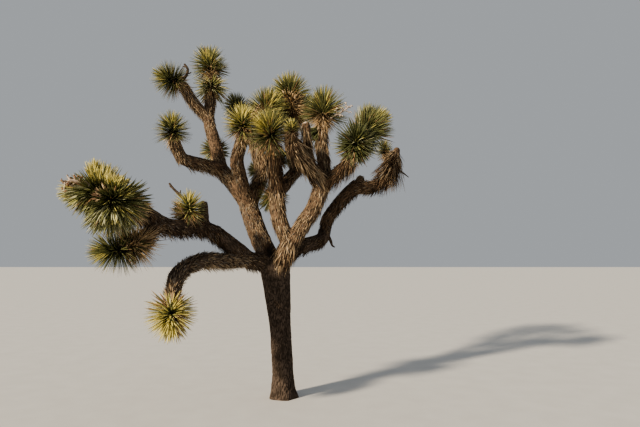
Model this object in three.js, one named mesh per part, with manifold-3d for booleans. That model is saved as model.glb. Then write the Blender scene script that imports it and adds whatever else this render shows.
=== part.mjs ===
// A Joshua tree rooted in level ground, in millimetres.
// +X runs to the right, +Y away from the viewer and +Z up, and the origin is the middle of the flat cut at
// ground level. The trunk forks into boughs, and each bough ends in a round head of stiff pointed leaves.
import * as THREE from "three";
import { mergeVertices } from "three/addons/utils/BufferGeometryUtils.js";
import Module from "manifold-3d";

const wasm = await Module();
wasm.setup();

const { degToRad, lerp, smoothstep } = THREE.MathUtils;

// Clearance between two neighbouring pieces
const GAP = 0.34;

// How close two corners merge, and how far a facet may move when needless ones are dropped
const MERGE = 1e-4;
const LIMB_TOLERANCE = 0.1;
const HEAD_TOLERANCE = 1.5;

// Facets round a limb, the trunk and a head's stem, and the length of limb from one ring to the next
const LIMB_SIDES = 8;
const TRUNK_SIDES = 14;
const STEM_SIDES = 6;
const RING_STEP = 140;
const FEWEST_RINGS = 2;

// A limb's tip is a dome: its rings, how far round it the last ring is, and its depth against its radius
const DOME_RINGS = 2;
const DOME_END = degToRad(72);
const DOME_DEPTH = 0.7;

// The trunk: radius at its waist and under its fork, and the flare and lobes of its foot
const WAIST_RADIUS = 128;
const FORK_RADIUS = 188;
const FORK_SWELL_START = 0.42;
const FOOT_FLARE = 46;
const FOOT_FLARE_HEIGHT = 110;
const FOOT_LOBES = 5;
const FOOT_LOBE_SHARE = 0.07;

// A leaf: facets round it, and its width and thickness at the root against its length
const LEAF_SIDES = 3;
const LEAF_WIDTH = 0.13;
const LEAF_THICKNESS = 0.06;

// A leaf head: how many leaves it has, and the turn from one leaf to the next
const FEWEST_LEAVES = 10;
const LEAF_PER_LENGTH = 1 / 17;
const LEAF_TURN = Math.PI * (3 - Math.sqrt(5));

// The lean of a head's youngest and oldest leaf from its stem, in degrees, and how much it wanders
const LEANS = [12, 122];
const LEAN_JITTER = 9;

// A young leaf's length against a full one, the share of leaves that are young, and how much length wanders
const YOUNG_LENGTH = 0.95;
const YOUNG_SHARE = 0.33;
const LENGTH_JITTER = 0.08;

// A head's stem against its leaves' length: its radii, its leafy stretch, and its bare share at either end
const STEM_ROOT_RADIUS = 0.25;
const STEM_TIP_RADIUS = 0.17;
const LEAFY_STRETCH = 0.42;
const BARE_TIP = 0.06;
const BARE_ROOT = 0.14;

// A leaf is shortened at the border of its head's space, skipped if too little is left, and kept this clear
const BORDER_MARGIN = 9;
const SHORTEST_SHARE = 0.45;
const LEAF_CLEARANCE = 3;
const SEED = 20;

// Each limb: the points that its centre line passes, from inside its parent to its tip, and its radius at
// the root and at the tip. A limb comes after the one that carries it.
const LIMBS = {
  trunk: {
    line: [[0, 0, 0], [-10, 0, 320], [-30, 0, 680], [-60, 0, 1050], [-90, 0, 1350], [-120, 0, 1700]],
    radius: trunkRadius,
    sides: TRUNK_SIDES,
    rooted: true,
  },

  // The low bough, which reaches out to the left and towards the viewer
  low_bough_inner: {
    line: [[-190, -30, 1640], [-410, -150, 1660], [-540, -260, 1770], [-800, -520, 1990]],
    radius: [112, 96],
  },
  low_bough_outer: {
    line: [[-760, -480, 1965], [-920, -700, 2020], [-1150, -1080, 2000], [-1330, -1430, 2130]],
    radius: [94, 88],
  },
  low_bough_tip_front: { line: [[-1310, -1390, 2120], [-1380, -1640, 2170]], radius: [80, 74] },
  low_bough_tip_left: {
    line: [[-1310, -1400, 2120], [-1560, -1400, 2220], [-1690, -1430, 2280]],
    radius: [78, 68],
  },
  low_bough_drop: {
    line: [[-1210, -1210, 2010], [-1300, -1300, 1890], [-1370, -1380, 1800]],
    radius: [84, 70],
  },
  low_bough_stub: { line: [[-870, -640, 2040], [-880, -640, 2320]], radius: [60, 50] },

  // The drooping bough below it
  drooping_bough_inner: {
    line: [[-420, -170, 1680], [-600, -330, 1650], [-880, -660, 1655]],
    radius: [92, 86],
  },
  drooping_bough_outer: {
    line: [[-850, -620, 1660], [-970, -840, 1600], [-1040, -1060, 1480], [-1050, -1240, 1270]],
    radius: [85, 80],
  },

  // The left leader and the limbs that it carries
  left_leader_lower: {
    line: [[-170, 20, 1650], [-280, 40, 1870], [-380, 50, 2110], [-490, 60, 2420]],
    radius: [128, 113],
  },
  left_leader_upper: {
    line: [[-470, 60, 2380], [-610, 20, 2580], [-810, -30, 2800]],
    radius: [111, 95],
  },
  left_arm: { line: [[-780, -30, 2780], [-950, -240, 2810], [-1190, -460, 2840]], radius: [83, 70] },
  left_arm_tip: { line: [[-1170, -440, 2820], [-1230, -520, 2950], [-1260, -560, 3050]], radius: [74, 63] },
  left_riser: {
    line: [[-790, -30, 2770], [-870, 60, 3050], [-970, 160, 3320], [-1040, 240, 3570]],
    radius: [79, 73],
  },
  left_riser_left: { line: [[-1030, 230, 3520], [-1180, 150, 3680], [-1350, 40, 3940]], radius: [71, 62] },
  left_riser_right: { line: [[-1030, 230, 3520], [-1030, 320, 3760], [-1040, 380, 3890]], radius: [71, 67] },
  inner_riser: {
    line: [[-490, 30, 2440], [-550, -140, 2700], [-560, -290, 2870], [-470, -400, 3140]],
    radius: [93, 72],
  },

  // The limbs in the middle of the crown
  middle_riser: {
    line: [[-450, 60, 2400], [-360, 180, 2640], [-320, 290, 2820], [-400, 370, 3200], [-340, 430, 3500]],
    radius: [94, 78],
  },
  back_riser: { line: [[-350, 330, 2990], [-530, 600, 3400], [-670, 760, 3690]], radius: [72, 63] },
  right_stem: { line: [[-60, -60, 1560], [20, -130, 1730], [95, -130, 1910]], radius: [112, 116] },
  centre_bough: {
    line: [[80, -125, 1850], [-10, -140, 2030], [-60, -150, 2190], [-90, -140, 2540]],
    radius: [94, 92],
  },
  centre_riser: { line: [[-90, -140, 2500], [-100, -200, 2680], [-130, -380, 3000]], radius: [90, 82] },
  centre_arm: { line: [[-80, -110, 2490], [40, 100, 2690], [150, 260, 2850]], radius: [80, 76] },
  centre_arm_riser: {
    line: [[140, 235, 2810], [70, 400, 3050], [20, 620, 3530], [50, 720, 3790]],
    radius: [76, 69],
  },

  // The right bough and its fork
  right_bough: {
    line: [[90, -120, 1860], [250, -110, 2120], [360, -60, 2290], [490, 0, 2660]],
    radius: [100, 92],
  },
  shaggy_arm: {
    line: [[480, -20, 2610], [320, -220, 2790], [200, -420, 2920], [110, -560, 3040]],
    radius: [100, 87],
  },
  dead_stub: { line: [[330, -200, 2820], [290, -250, 3090], [270, -290, 3330]], radius: [60, 43] },
  right_riser: {
    line: [[490, 10, 2620], [500, 130, 2890], [470, 230, 3130], [470, 320, 3420]],
    radius: [86, 68],
  },
  right_arm: {
    line: [[480, 0, 2600], [660, -130, 2730], [770, -270, 2810], [850, -400, 2960]],
    radius: [82, 71],
  },
  right_arm_fork: { line: [[850, -370, 2930], [930, -330, 3110]], radius: [65, 58] },

  // The far right bough, which leaves the trunk behind the others
  far_bough_low: {
    line: [[-20, 20, 1700], [190, 250, 1840], [460, 470, 1940], [510, 520, 2060]],
    radius: [104, 83],
  },
  far_bough_middle: {
    line: [[500, 515, 2020], [550, 540, 2220], [810, 520, 2550], [980, 500, 2700]],
    radius: [83, 91],
  },
  far_bough_knob: { line: [[980, 500, 2650], [1000, 500, 2810]], radius: [77, 52] },
  far_bough_end: {
    line: [[950, 495, 2660], [1120, 470, 2640], [1270, 440, 2700], [1370, 430, 2850], [1470, 420, 3050]],
    radius: [93, 60],
  },
};

// Each leaf head: the points that its stem passes, from inside its limb to where its leaves spread, and the
// length of its leaves. A long head has a longer leafy stretch, and a dead one hangs its leaves.
const HEADS = {
  head_low_front: { stem: [[-1370, -1600, 2160], [-1510, -1780, 2210]], leaf: 315 },
  head_low_left: { stem: [[-1660, -1425, 2265], [-1870, -1490, 2370]], leaf: 300 },
  head_low_drop: {
    stem: [[-1355, -1365, 1820], [-1470, -1440, 1750], [-1600, -1500, 1740]],
    leaf: 230,
    stretch: 0.9,
  },
  head_low_spur: { stem: [[-995, -830, 2040], [-980, -880, 2265]], leaf: 195 },
  head_drooping: { stem: [[-1050, -1215, 1300], [-1020, -1330, 1050]], leaf: 262 },
  head_left_arm: { stem: [[-1257, -555, 3025], [-1270, -600, 3210]], leaf: 215 },
  head_left_back: { stem: [[-800, -10, 2800], [-900, 190, 3010], [-970, 360, 3170]], leaf: 190 },
  head_top_left: { stem: [[-1337, 48, 3920], [-1510, -30, 3990]], leaf: 240 },
  head_top: {
    stem: [[-1039, 373, 3865], [-1030, 430, 4150], [-1090, 460, 4420]],
    leaf: 260,
    stretch: 1.3,
  },
  head_inner: { stem: [[-475, -396, 3115], [-480, -450, 3330]], leaf: 242 },
  head_back_left: { stem: [[-660, 750, 3665], [-760, 800, 3890]], leaf: 215 },
  head_middle: { stem: [[-345, 425, 3475], [-280, 470, 3770]], leaf: 270 },
  head_middle_small: { stem: [[-325, 300, 2810], [-420, 440, 2870]], leaf: 145 },
  head_centre_front: { stem: [[-128, -370, 2975], [-140, -470, 3210]], leaf: 240 },
  head_centre_small: { stem: [[-105, -200, 2700], [-52, 0, 2960]], leaf: 150 },
  head_hanging: { stem: [[-85, -145, 2420], [-150, 90, 2500], [-190, 180, 2440]], leaf: 205 },
  head_centre_back: { stem: [[48, 713, 3765], [10, 790, 4100]], leaf: 290 },
  head_centre_far: { stem: [[35, 650, 3600], [120, 860, 3760], [180, 950, 3920]], leaf: 230 },
  head_shaggy: { stem: [[118, -545, 3025], [120, -630, 3190]], leaf: 140 },
  head_right: { stem: [[470, 312, 3395], [490, 370, 3730]], leaf: 282 },
  head_right_arm: { stem: [[846, -393, 2935], [880, -520, 3060]], leaf: 260 },
  head_right_fork: { stem: [[926, -333, 3090], [1090, -310, 3350]], leaf: 250 },
  head_far_spur: { stem: [[1390, 427, 2890], [1345, 470, 3080], [1325, 485, 3200]], leaf: 145 },
  head_far_dead: { stem: [[1460, 421, 3025], [1490, 420, 3160]], leaf: 300, leans: [112, 156] },
};

// Small deterministic random numbers from 0 to 1
function seededRandom(seed) {
  let state = seed;
  return () => {
    state = (state * 1664525 + 1013904223) % 4294967296;
    return state / 4294967296;
  };
}

// The trunk's radius at a share of its length and an angle round it
function trunkRadius(share, angle, length) {
  const swell = smoothstep(share, FORK_SWELL_START, 1);
  const foot = Math.exp((-share * length) / FOOT_FLARE_HEIGHT);
  const lobes = 1 + FOOT_LOBE_SHARE * foot * Math.cos(FOOT_LOBES * angle);
  return (WAIST_RADIUS + (FORK_RADIUS - WAIST_RADIUS) * swell + FOOT_FLARE * foot) * lobes;
}

// A smooth line through points given as lists of x, y and z
function smoothLine(points) {
  return new THREE.CatmullRomCurve3(points.map((p) => new THREE.Vector3(...p)), false, "centripetal");
}

// A closed geometry as a solid that can be joined and cut
function solidFrom(geometry) {
  const bare = geometry.clone();
  bare.deleteAttribute("normal");
  bare.deleteAttribute("uv");
  const merged = mergeVertices(bare, MERGE);
  return new wasm.Manifold(
    new wasm.Mesh({
      numProp: 3,
      vertProperties: merged.attributes.position.array,
      triVerts: new Uint32Array(merged.index.array),
    }),
  );
}

// A solid as a named mesh of one material
function meshFrom(name, solid, material) {
  const { vertProperties, triVerts } = solid.getMesh();
  const geometry = new THREE.BufferGeometry();
  geometry.setAttribute("position", new THREE.BufferAttribute(new Float32Array(vertProperties), 3));
  geometry.setIndex(new THREE.BufferAttribute(triVerts, 1));
  const mesh = new THREE.Mesh(geometry, material.clone());
  mesh.name = name;
  return mesh;
}

// The rings of a limb, root to tip: centre, share of the length, directions along and across, how far it
// has closed in towards the dome's pole, and how far it has risen up the dome
function ringsOf(curve, length, tipRadius, rooted) {
  const dome = (DOME_DEPTH * tipRadius) / length;
  const straight = Math.max(FEWEST_RINGS, Math.round(length / RING_STEP));
  const rings = [];
  let across = new THREE.Vector3(1, 0, 0);
  for (let k = 0; k <= straight + DOME_RINGS; k++) {
    const turn = (Math.max(0, k - straight) / DOME_RINGS) * DOME_END;
    const rise = Math.sin(turn) / Math.sin(DOME_END);
    const share = (1 - dome) * (Math.min(k, straight) / straight) + dome * rise;
    const along = rooted && k === 0 ? new THREE.Vector3(0, 0, 1) : curve.getTangentAt(share);
    across = across.clone().addScaledVector(along, -across.dot(along)).normalize();
    const side = new THREE.Vector3().crossVectors(along, across);
    rings.push({ centre: curve.getPointAt(share), share, along, across, side, narrow: Math.cos(turn), rise });
  }
  return rings;
}

// A round tapering limb along a smooth line, domed at its tip, and grown outwards by a margin
function limbSolid({ line, radius, sides = LIMB_SIDES, rooted = false }, margin = 0) {
  const curve = smoothLine(line);
  const length = curve.getLength();
  const radiusAt =
    typeof radius === "function"
      ? (share, angle) => radius(share, angle, length)
      : (share) => lerp(radius[0], radius[1], share);
  const rings = ringsOf(curve, length, radiusAt(1, 0), rooted);
  const last = rings.length - 1;
  const tube = new THREE.CylinderGeometry(1, 1, 1, sides, last);
  const vertices = tube.getAttribute("position");
  const vertex = new THREE.Vector3();
  for (let i = 0; i < vertices.count; i++) {
    vertex.fromBufferAttribute(vertices, i);
    const k = Math.round((vertex.y + 0.5) * last);
    const ring = rings[k];
    const angle = Math.atan2(vertex.z, vertex.x);
    const reach = Math.hypot(vertex.x, vertex.z) * (radiusAt(ring.share, angle) * ring.narrow + margin);
    const shift = k === 0 ? -margin : margin * ring.rise;
    const place = ring.centre
      .clone()
      .addScaledVector(ring.along, shift)
      .addScaledVector(ring.across, reach * Math.cos(angle))
      .addScaledVector(ring.side, -reach * Math.sin(angle));
    vertices.setXYZ(i, place.x, place.y, place.z);
  }
  return solidFrom(tube);
}

// True if the boxes round two solids reach each other
function boxesMeet(a, b) {
  const p = a.boundingBox();
  const q = b.boundingBox();
  return [0, 1, 2].every((i) => p.min[i] <= q.max[i] && q.min[i] <= p.max[i]);
}

// A piece cut back from each grown neighbour that it reaches, without any scrap that the cuts leave loose
function cutBack(piece, neighbours) {
  const bodies = neighbours
    .filter((neighbour) => boxesMeet(piece, neighbour))
    .reduce((rest, neighbour) => rest.subtract(neighbour), piece)
    .decompose();
  return bodies.reduce((a, b) => (b.volume() > a.volume() ? b : a)).simplify(LIMB_TOLERANCE);
}

// One leaf: a long blade with a keel, from a root in the stem to a sharp point, grown by a margin
function leafSolid({ root, direction, length }, margin = 0) {
  const blade = new THREE.ConeGeometry(1, 1, LEAF_SIDES);
  const vertices = blade.getAttribute("position");
  const width = new THREE.Vector3(-direction.y, direction.x, 0).normalize();
  const depth = new THREE.Vector3().crossVectors(direction, width);
  const halfWidth = (LEAF_WIDTH * length) / 2 + margin;
  const halfDepth = (LEAF_THICKNESS * length) / 2 + margin;
  const vertex = new THREE.Vector3();
  for (let i = 0; i < vertices.count; i++) {
    vertex.fromBufferAttribute(vertices, i);
    const place = root
      .clone()
      .addScaledVector(direction, (vertex.y + 0.5) * (length + margin))
      .addScaledVector(width, -vertex.x * halfWidth)
      .addScaledVector(depth, vertex.z * halfDepth);
    vertices.setXYZ(i, place.x, place.y, place.z);
  }
  return solidFrom(blade);
}

// How far a leaf may run before it leaves the space of its own head
function roomAlong(root, direction, head, heads) {
  let room = Infinity;
  for (const other of heads) {
    const between = other.centre.clone().sub(head.centre);
    const distance = between.length();
    if (other === head || distance > head.leaf + other.leaf) continue;
    const normal = between.divideScalar(distance);
    const border = (distance * head.leaf) / (head.leaf + other.leaf) - BORDER_MARGIN;
    const climb = direction.dot(normal);
    if (climb > 0) room = Math.min(room, (border - root.clone().sub(head.centre).dot(normal)) / climb);
  }
  return room;
}

// The leaves of a head, youngest first: each one's root on the stem, direction and length
function leavesOf(head, heads, random) {
  const { curve, leaf, stretch = LEAFY_STRETCH, leans = LEANS } = head;
  const [leastLean, mostLean] = leans.map((lean) => Math.cos(degToRad(lean)));
  const leafy = Math.min(1 - BARE_TIP - BARE_ROOT, (stretch * leaf) / curve.getLength());
  const count = Math.round((FEWEST_LEAVES + leaf * LEAF_PER_LENGTH) * Math.sqrt(stretch / LEAFY_STRETCH));
  const leaves = [];
  for (let i = 0; i < count; i++) {
    const age = (i + 0.5) / count;
    const share = 1 - BARE_TIP - leafy * age;
    const root = curve.getPointAt(share);
    const along = curve.getTangentAt(share);
    const across = new THREE.Vector3(-along.y, along.x, 0).normalize();
    across.applyAxisAngle(along, i * LEAF_TURN);
    const lean = Math.acos(lerp(leastLean, mostLean, age)) + degToRad((2 * random() - 1) * LEAN_JITTER);
    const direction = along.clone().multiplyScalar(Math.cos(lean)).addScaledVector(across, Math.sin(lean));
    const grown = lerp(YOUNG_LENGTH, 1, Math.min(1, age / YOUNG_SHARE));
    const full = leaf * grown * (1 - random() * LENGTH_JITTER);
    const length = Math.min(full, roomAlong(root, direction, head, heads));
    if (length > SHORTEST_SHARE * full) leaves.push({ root, direction, length });
  }
  return leaves;
}

// The limbs, each cut back from those before it
const limbs = [];
for (const [name, shape] of Object.entries(LIMBS)) {
  const solid = cutBack(limbSolid(shape), limbs.map((limb) => limb.grown));
  limbs.push({ name, solid, grown: limbSolid(shape, GAP) });
}
const grownLimbs = limbs.map((limb) => limb.grown);

// The stems of the heads
const heads = Object.entries(HEADS).map(([name, shape]) => {
  const { stem: line, leaf } = shape;
  const radius = [STEM_ROOT_RADIUS * leaf, STEM_TIP_RADIUS * leaf];
  const solid = limbSolid({ line, radius, sides: STEM_SIDES });
  const curve = smoothLine(line);
  return { ...shape, name, curve, centre: curve.getPoint(1), solid };
});

// The leaves of each head, fused to its stem where they are clear of the limbs and of the other heads
const random = seededRandom(SEED);
for (const head of heads) {
  const others = heads.filter((other) => other !== head).map((other) => other.solid);
  const obstacles = [...grownLimbs, ...others];
  const clearLeaves = leavesOf(head, heads, random).filter((leaf) => {
    const swept = leafSolid(leaf, LEAF_CLEARANCE);
    return !obstacles.some((other) => boxesMeet(swept, other) && !swept.intersect(other).isEmpty());
  });
  const fused = wasm.Manifold.union([head.solid, ...clearLeaves.map((leaf) => leafSolid(leaf))]);
  head.solid = cutBack(fused.simplify(HEAD_TOLERANCE), grownLimbs);
}

// Bark, living leaves, and the dead leaves that hang at the far bough's end
const bark = new THREE.MeshStandardMaterial({ color: 0x7d6650, roughness: 0.95, metalness: 0 });
const livingLeaf = new THREE.MeshStandardMaterial({ color: 0x8b9448, roughness: 0.6, metalness: 0 });
const deadLeaf = new THREE.MeshStandardMaterial({ color: 0xa3855f, roughness: 0.9, metalness: 0 });

const tree = new THREE.Group();
for (const { name, solid } of limbs) tree.add(meshFrom(name, solid, bark));
for (const { name, solid } of heads) {
  tree.add(meshFrom(name, solid, name === "head_far_dead" ? deadLeaf : livingLeaf));
}

export default tree;
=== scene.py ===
"""The bark, dry leaves and living leaves of a Joshua tree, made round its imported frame."""

import math
from functools import partial
from types import SimpleNamespace as Group

import bpy
import numpy as np
from bpy.props import FloatProperty, FloatVectorProperty, IntProperty, PointerProperty
from bpy.types import Operator, Panel, PropertyGroup
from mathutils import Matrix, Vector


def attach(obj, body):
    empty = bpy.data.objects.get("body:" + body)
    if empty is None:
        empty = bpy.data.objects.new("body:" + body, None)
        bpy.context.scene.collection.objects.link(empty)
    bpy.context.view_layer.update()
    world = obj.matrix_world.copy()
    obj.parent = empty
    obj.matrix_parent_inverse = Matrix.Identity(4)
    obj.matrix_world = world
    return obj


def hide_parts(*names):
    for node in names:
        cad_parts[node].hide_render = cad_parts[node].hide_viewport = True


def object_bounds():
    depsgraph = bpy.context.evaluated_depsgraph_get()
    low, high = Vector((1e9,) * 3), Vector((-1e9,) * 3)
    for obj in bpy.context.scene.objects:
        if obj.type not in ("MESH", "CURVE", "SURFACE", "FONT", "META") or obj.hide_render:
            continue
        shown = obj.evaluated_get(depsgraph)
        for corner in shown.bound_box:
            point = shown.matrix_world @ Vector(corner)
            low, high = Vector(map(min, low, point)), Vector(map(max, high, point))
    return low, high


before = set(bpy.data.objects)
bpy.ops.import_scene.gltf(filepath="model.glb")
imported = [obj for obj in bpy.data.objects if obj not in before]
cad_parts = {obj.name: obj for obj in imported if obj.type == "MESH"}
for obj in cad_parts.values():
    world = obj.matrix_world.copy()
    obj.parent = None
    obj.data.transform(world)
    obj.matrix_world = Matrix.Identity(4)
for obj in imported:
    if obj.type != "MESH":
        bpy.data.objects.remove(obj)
CAD_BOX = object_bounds()

bl_info = {
    "name": "Joshua Tree",
    "version": (1, 0, 0),
    "blender": (4, 5, 0),
    "location": "View3D > Sidebar > Joshua Tree",
    "description": "Dresses a packed Joshua tree in furrowed bark, dry leaf thatch and heads of stiff leaves",
    "category": "Add Mesh",
}

MM = 0.001
TINY = 1e-12
FAR_OFF = 9.0
UP = np.array([0.0, 0.0, 1.0])
GOLDEN_TURN = math.pi * (3 - math.sqrt(5))

# The trunk in metres: radius at its waist and under its fork, with the share of its height where it starts to
# swell, the flare of its foot and how high that fades, its lobes and their share of the radius, and how far it
# goes on below ground before it is cut
WAIST_RADIUS, FORK_RADIUS, FORK_SWELL_START = 0.128, 0.188, 0.42
FOOT_FLARE, FOOT_FLARE_HEIGHT = 0.046, 0.11
FOOT_LOBES, FOOT_LOBE_SHARE = 5, 0.07
BELOW_GROUND = 0.06

# A limb's tip is a dome: how far round it the last ring is, its depth against the radius, and its rings
DOME_END, DOME_DEPTH, DOME_RINGS = math.radians(72), 0.7, 7

# Each limb in millimetres: the points of its centre line, its radius at root and tip, and its dry coat.
# The lines and radii are those of the solids, and the trunk's radius follows from the numbers above.
LIMBS = {
    "trunk": (
        [(0, 0, 0), (-10, 0, 320), (-30, 0, 680), (-60, 0, 1050), (-90, 0, 1350), (-120, 0, 1700)],
        None, "bare",
    ),
    "low_bough_inner": (
        [(-190, -30, 1640), (-410, -150, 1660), (-540, -260, 1770), (-800, -520, 1990)], (112, 96), "fringed"
    ),
    "low_bough_outer": (
        [(-760, -480, 1965), (-920, -700, 2020), (-1150, -1080, 2000), (-1330, -1430, 2130)],
        (94, 88), "fringed",
    ),
    "low_bough_tip_front": ([(-1310, -1390, 2120), (-1380, -1640, 2170)], (80, 74), "shaggy"),
    "low_bough_tip_left": (
        [(-1310, -1400, 2120), (-1560, -1400, 2220), (-1690, -1430, 2280)], (78, 68), "shaggy"
    ),
    "low_bough_drop": (
        [(-1210, -1210, 2010), (-1300, -1300, 1890), (-1370, -1380, 1800)], (84, 70), "fringed_pale"
    ),
    "low_bough_stub": ([(-870, -640, 2040), (-880, -640, 2320)], (60, 50), "fringed"),
    "drooping_bough_inner": (
        [(-420, -170, 1680), (-600, -330, 1650), (-880, -660, 1655)], (92, 86), "bristly_pale"
    ),
    "drooping_bough_outer": (
        [(-850, -620, 1660), (-970, -840, 1600), (-1040, -1060, 1480), (-1050, -1240, 1270)],
        (85, 80), "bristly",
    ),
    "left_leader_lower": (
        [(-170, 20, 1650), (-280, 40, 1870), (-380, 50, 2110), (-490, 60, 2420)], (128, 113), "worn_pale"
    ),
    "left_leader_upper": ([(-470, 60, 2380), (-610, 20, 2580), (-810, -30, 2800)], (111, 95), "worn_pale"),
    "left_arm": ([(-780, -30, 2780), (-950, -240, 2810), (-1190, -460, 2840)], (83, 70), "fringed_pale"),
    "left_arm_tip": ([(-1170, -440, 2820), (-1230, -520, 2950), (-1260, -560, 3050)], (74, 63), "worn"),
    "left_riser": (
        [(-790, -30, 2770), (-870, 60, 3050), (-970, 160, 3320), (-1040, 240, 3570)], (79, 73), "worn"
    ),
    "left_riser_left": ([(-1030, 230, 3520), (-1180, 150, 3680), (-1350, 40, 3940)], (71, 62), "thatched"),
    "left_riser_right": (
        [(-1030, 230, 3520), (-1030, 320, 3760), (-1040, 380, 3890)], (71, 67), "thatched_new"
    ),
    "inner_riser": (
        [(-490, 30, 2440), (-550, -140, 2700), (-560, -290, 2870), (-470, -400, 3140)], (93, 72), "worn_dark"
    ),
    "middle_riser": (
        [(-450, 60, 2400), (-360, 180, 2640), (-320, 290, 2820), (-400, 370, 3200), (-340, 430, 3500)],
        (94, 78), "shaggy",
    ),
    "back_riser": ([(-350, 330, 2990), (-530, 600, 3400), (-670, 760, 3690)], (72, 63), "thatched"),
    "right_stem": ([(-60, -60, 1560), (20, -130, 1730), (95, -130, 1910)], (112, 116), "shaggy"),
    "centre_bough": (
        [(80, -125, 1850), (-10, -140, 2030), (-60, -150, 2190), (-90, -140, 2540)], (94, 92), "thatched"
    ),
    "centre_riser": ([(-90, -140, 2500), (-100, -200, 2680), (-130, -380, 3000)], (90, 82), "shaggy_dark"),
    "centre_arm": ([(-80, -110, 2490), (40, 100, 2690), (150, 260, 2850)], (80, 76), "fringed_pale"),
    "centre_arm_riser": (
        [(140, 235, 2810), (70, 400, 3050), (20, 620, 3530), (50, 720, 3790)], (76, 69), "thatched"
    ),
    "right_bough": (
        [(90, -120, 1860), (250, -110, 2120), (360, -60, 2290), (490, 0, 2660)], (100, 92), "thatched"
    ),
    "shaggy_arm": (
        [(480, -20, 2610), (320, -220, 2790), (200, -420, 2920), (110, -560, 3040)], (100, 87), "mane"
    ),
    "dead_stub": ([(330, -200, 2820), (290, -250, 3090), (270, -290, 3330)], (60, 43), "shaggy"),
    "right_riser": (
        [(490, 10, 2620), (500, 130, 2890), (470, 230, 3130), (470, 320, 3420)], (86, 68), "shaggy"
    ),
    "right_arm": (
        [(480, 0, 2600), (660, -130, 2730), (770, -270, 2810), (850, -400, 2960)], (82, 71), "shaggy_dark"
    ),
    "right_arm_fork": ([(850, -370, 2930), (930, -330, 3110)], (65, 58), "shaggy"),
    "far_bough_low": (
        [(-20, 20, 1700), (190, 250, 1840), (460, 470, 1940), (510, 520, 2060)], (104, 83), "fringed"
    ),
    "far_bough_middle": (
        [(500, 515, 2020), (550, 540, 2220), (810, 520, 2550), (980, 500, 2700)], (83, 91), "fringed_long"
    ),
    "far_bough_knob": ([(980, 500, 2650), (1000, 500, 2810)], (77, 52), "worn"),
    "far_bough_end": (
        [(950, 495, 2660), (1120, 470, 2640), (1270, 440, 2700), (1370, 430, 2850), (1470, 420, 3050)],
        (93, 60), "hanging",
    ),
}


def head(leaf, *points, stretch=0.42, radii=None):
    """A leaf head in millimetres: its leaves' length, the points that its stem passes, the stretch of stem that
    they stand on against that length, and the stem's radii at root and tip, if they don't follow from it."""
    return Group(leaf=leaf, points=points, stretch=stretch, radii=radii or (0.19 * leaf, 0.11 * leaf))


HEADS = {
    "head_low_front": head(315, (-1370, -1600, 2160), (-1510, -1780, 2210)),
    "head_low_left": head(300, (-1660, -1425, 2265), (-1870, -1490, 2370)),
    "head_low_drop": head(230, (-1355, -1365, 1820), (-1470, -1440, 1750), (-1600, -1500, 1740), stretch=0.9),
    "head_low_spur": head(195, (-995, -830, 2040), (-980, -880, 2265)),
    "head_drooping": head(262, (-1050, -1215, 1300), (-1020, -1330, 1050)),
    "head_left_arm": head(215, (-1257, -555, 3025), (-1270, -600, 3210)),
    "head_left_back": head(190, (-800, -10, 2800), (-900, 190, 3010), (-970, 360, 3170)),
    "head_top_left": head(240, (-1337, 48, 3920), (-1510, -30, 3990)),
    "head_top": head(260, (-1039, 373, 3865), (-1030, 430, 4150), (-1090, 460, 4420), stretch=1.3),
    "head_inner": head(242, (-475, -396, 3115), (-480, -450, 3330)),
    "head_back_left": head(215, (-660, 750, 3665), (-760, 800, 3890)),
    "head_middle": head(270, (-345, 425, 3475), (-280, 470, 3770)),
    "head_middle_small": head(145, (-325, 300, 2810), (-420, 440, 2870)),
    "head_centre_front": head(240, (-128, -370, 2975), (-140, -470, 3210)),
    "head_centre_small": head(150, (-105, -200, 2700), (-52, 0, 2960)),
    "head_hanging": head(205, (-85, -145, 2420), (-150, 90, 2500), (-190, 180, 2440)),
    "head_centre_back": head(290, (48, 713, 3765), (10, 790, 4100)),
    "head_centre_far": head(230, (35, 650, 3600), (120, 860, 3760), (180, 950, 3920)),
    "head_shaggy": head(140, (118, -545, 3025), (120, -630, 3190)),
    "head_right": head(282, (470, 312, 3395), (490, 370, 3730)),
    "head_right_arm": head(260, (846, -393, 2935), (880, -520, 3060)),
    "head_right_fork": head(250, (926, -333, 3090), (1090, -310, 3350)),
    "head_far_spur": head(145, (1390, 427, 2890), (1345, 470, 3080), (1325, 485, 3200)),
    "head_far_dead": head(300, (1460, 421, 3025), (1490, 420, 3185), radii=(60, 46)),
}
DEAD_HEADS = {"head_far_dead"}

# The share of young, grown, shaded, dried and pale leaves in the looks of living balls
# The shaded leaves are darker as painted shade, so the dark and shady looks hold painted shade; the sunny and
# bright looks, heavy in young leaves, are partly painted light
LEAF_SHARES = {
    "sunny": (0.84, 0.1, 0.0, 0.03, 0.03),
    "bright": (0.52, 0.34, 0.08, 0.06, 0.0),
    "plain": (0.15, 0.48, 0.28, 0.09, 0.0),
    "dark": (0.04, 0.36, 0.5, 0.08, 0.02),
    "pale": (0.12, 0.3, 0.08, 0.1, 0.4),
    "shady": (0.0, 0.03, 0.9, 0.05, 0.02),
    "faded": (0.0, 0.05, 0.15, 0.74, 0.06),
}

# The share of fresh, straw, tan, brown and dark leaves in the looks of dead balls
DRY_SHARES = {
    "fresh": (0.48, 0.32, 0.14, 0.04, 0.02),
    # Nearly all fresh straw: the leaves' own colour and partly painted light
    "new": (0.7, 0.24, 0.04, 0.01, 0.01),
    "old": (0.0, 0.1, 0.28, 0.4, 0.22),
}


def ball(look="plain", reach=1.0, leans=(6, 114), breadth=1.0, shares=None, tilt=(0, 0, 0)):
    """One ball of leaves on a head: its look, its leaves' length against the head's, their leans from the
    stem in degrees, how much broader and fewer they are, where it starts and ends on the stem, from its
    root at 0 to its tip at 1, if that isn't the head's own stretch, and which way it is tilted."""
    tilt = np.array(tilt)
    return Group(look=look, reach=reach, leans=leans, breadth=breadth, shares=shares, tilt=tilt)


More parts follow.
